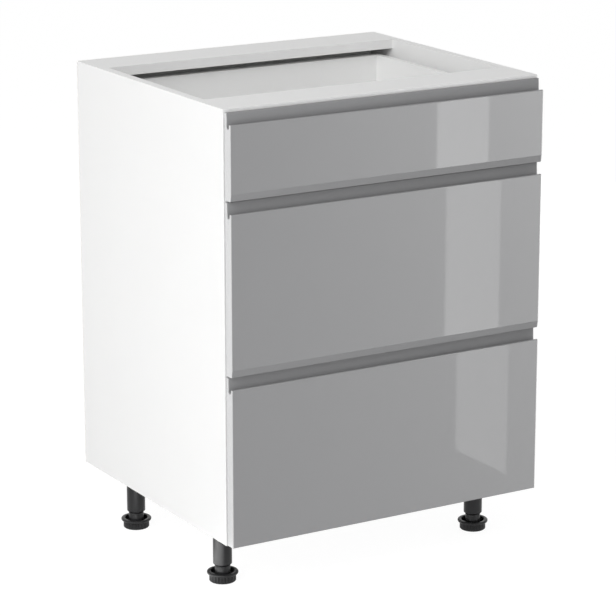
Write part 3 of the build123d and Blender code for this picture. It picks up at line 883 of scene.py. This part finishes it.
def press_slot(mesh, middle, half, radius):
    """Opens a slot with round ends in the frame of the web that was kept for it."""
    frame_half = half + radius + frame_margin
    web = []
    for face in mesh.faces:
        centre = face.calc_center_median()
        if max(abs(centre.y - middle), abs(centre.z)) < frame_rim / 2:
            web.append(face)
    bmesh.ops.inset_region(mesh, faces=web, thickness=frame_rim, use_even_offset=True)
    rim = list(web[0].edges)
    bmesh.ops.delete(mesh, geom=web, context="FACES_ONLY")
    bmesh.ops.subdivide_edges(mesh, edges=rim, cuts=2)
    for point in mesh.verts:
        away = Vector(((point.co.y - middle) / frame_half, point.co.z / frame_half_height))
        if max(abs(away.x), abs(away.y)) < frame_inside_share:
            away.normalize()
            point.co.y = middle + away.x * radius + math.copysign(half, away.x)
            point.co.z = away.y * radius


def rolled_members(half_outline, low, high, slots):
    """A pair of runner members, left and right, between the ends of their CAD node."""
    mesh = bmesh.new()
    outline = half_outline + [(offset, -height) for offset, height in reversed(half_outline)]
    points = [
        mesh.verts.new((panel_inside - offset, low.y, height)) for offset, height in outline
    ]
    for pair in zip(points, points[1:]):
        mesh.edges.new(pair)
    last_corner = len(half_outline) - 1
    bmesh.ops.bevel(
        mesh, geom=points[1:last_corner] + points[-last_corner:-1], offset=roll_radius,
        segments=3, profile=0.5, affect="VERTICES", material=-1,
    )
    stations = [high.y]
    for middle, half, radius in slots:
        frame_half = half + radius + frame_margin
        stations += [middle - frame_half, middle + frame_half]
    edges = list(mesh.edges)
    for y in sorted(stations):
        points, edges = draw_out(mesh, edges)
        for point in points:
            point.co.y = y
    for slot in slots:
        press_slot(mesh, *slot)
    bmesh.ops.translate(mesh, verts=mesh.verts, vec=(0.0, 0.0, (low.z + high.z) / 2))
    bmesh.ops.mirror(
        mesh, geom=[*mesh.verts, *mesh.edges, *mesh.faces], matrix=Matrix.Identity(4),
        merge_dist=-1.0, axis="X",
    )
    bmesh.ops.recalc_face_normals(mesh, faces=mesh.faces)
    return mesh


for drawer in drawer_names:
    for member, outline, slots, body in (
        ("outer", outer_outline, outer_slots, "carcass"),
        ("middle", middle_outline, middle_slots, drawer + "_middle_runners"),
        ("inner", inner_outline, inner_slots, drawer + "_drawer"),
    ):
        node = drawer + "_runner_" + member + "_members"
        mesh = rolled_members(outline, *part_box(node), slots)
        piece = new_piece(
            drawer + "_rolled_" + member + "_members", mesh, runner_steel, body, "zinc_steel",
            node,
        )
        sheet = piece.modifiers.new("sheet_thickness", "SOLIDIFY")
        sheet.thickness = member_sheet
        sheet.offset = 0.0
        sheet.use_even_offset = True


# ---- Drawers ----
# Three drawers on ball-bearing runners. Each has a doweled box of 12 mm white boards with a
# thin bottom, and a gloss lacquered front with a milled finger recess along its top.

gloss_grey = (0.305, 0.305, 0.31)
gloss_grey_shade = (0.297, 0.298, 0.304)
gloss_clouds = 0.12
gloss_flow = 0.006
gloss_rough = (0.035, 0.055)
gloss_bumps = 0.0000006
# The milled greys are a little darker than the gloss greys: painted shade of the finger recess and
# of the bevel along the fronts' lower edge.
milled_painted_shade_grey = (0.300, 0.300, 0.305)
milled_painted_shade_grey_dark = (0.285, 0.286, 0.292)
milled_rough = (0.48, 0.58)
milled_specular = 0.2
milled_bumps = 0.000004
cutter_mark = 0.0011
cutter_stretch = (9.0, 1.0, 1.0)
# What lies deeper than this behind the fronts' faces is milled, as is the bevel along their
# lower edge, which faces down by at least so much. These milled surfaces are satin, and their
# darker grey is painted shade.
milled_depth = 0.0038
milled_facing = -0.1
edge_grey = (0.62, 0.62, 0.625)
edge_grey_shade = (0.595, 0.598, 0.603)
edge_clouds = 0.04
edge_grain = 0.001
edge_rough = (0.2, 0.3)
edge_bumps = 0.000004
silicone_clear = (0.86, 0.87, 0.87)
silicone_dusty = (0.93, 0.94, 0.94)
silicone_dust = 0.002
silicone_rough = (0.22, 0.34)
silicone_bumps = 0.00001
silicone_ior = 1.41
silicone_clearness = 0.7

box_board = board_finish("white_box_board")

gloss = new_finish("grey_gloss_lacquer_with_painted_shade")
polished = coat(
    gloss,
    gloss.blend(gloss.noise(gloss_clouds, detail=2.0), gloss_grey, gloss_grey_shade),
    gloss.noise(gloss_flow, detail=2.0), gloss_rough, gloss_bumps, {"IOR": resin_ior},
)
cutter_marks = gloss.noise(cutter_mark, detail=3.0, stretch=cutter_stretch)
# The matt shader is satin, and its darker grey is painted shade of the recess and the bevel.
matt_with_painted_shade = coat(
    gloss, gloss.blend(cutter_marks, milled_painted_shade_grey, milled_painted_shade_grey_dark), cutter_marks,
    milled_rough, milled_bumps, {"IOR": resin_ior, "Specular IOR Level": milled_specular},
)
front_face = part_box("top_front")[0].y
# This mask places both the satin finish and the painted shade on the milled surfaces.
milled_with_painted_shade = (along(gloss, 1) > front_face + milled_depth) | (facing(gloss, 2) < milled_facing)
gloss.surface(gloss.mix(milled_with_painted_shade, polished, matt_with_painted_shade))

light_edging = edging_finish(
    "light_front_edging", edge_grey, edge_grey_shade, edge_clouds, edge_grain, edge_rough,
    edge_bumps,
)

silicone = new_finish("clear_silicone_stop")
dust = silicone.noise(silicone_dust, detail=3.0)
silicone.surface(coat(
    silicone, silicone.blend(dust, silicone_clear, silicone_dusty), dust, silicone_rough,
    silicone_bumps, {"IOR": silicone_ior, "Transmission Weight": silicone_clearness},
))

for drawer in drawer_names:
    dress(box_board, drawer + "_box_sides", drawer + "_box_front", drawer + "_box_back")
    dress(hardboard.owner, drawer + "_box_bottom")
    dress(beech.owner, drawer + "_box_dowels")
    dress(ball_steel, drawer + "_runner_outer_balls", drawer + "_runner_inner_balls")
    dress(gloss.owner, drawer + "_front")
    dress(light_edging, drawer + "_front_edge_bands")
    dress(silicone.owner, drawer + "_bumpers")


low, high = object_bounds()
